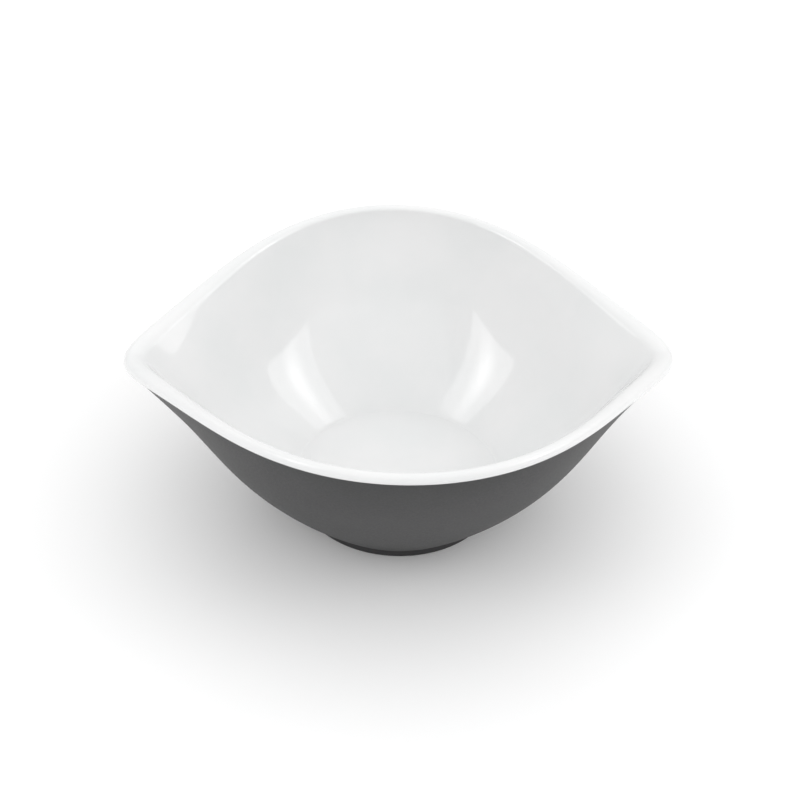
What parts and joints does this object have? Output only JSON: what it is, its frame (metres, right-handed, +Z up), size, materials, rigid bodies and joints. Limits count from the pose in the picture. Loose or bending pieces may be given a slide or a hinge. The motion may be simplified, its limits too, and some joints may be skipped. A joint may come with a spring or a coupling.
{
  "type": "serving bowl",
  "caption": "Leaf-shaped two-tone serving bowl for chips or salad, with a flat round floor, two dipped pouring tips, a rolled white rim and a charcoal foot ring.",
  "frame": {"origin": "centre of the foot ring's underside, on the surface that the bowl stands on", "axes": "+Z up out of the bowl's mouth; +X along the long axis, towards one of the two tips"},
  "size_m": [0.24, 0.211, 0.0952],
  "materials": {
    "white_melamine": "glossy",
    "charcoal_melamine": "satin"
  },
  "bodies": {
    "root": {"inner_shell": "white_melamine", "outer_shell": "charcoal_melamine"}
  },
  "joints": []
}
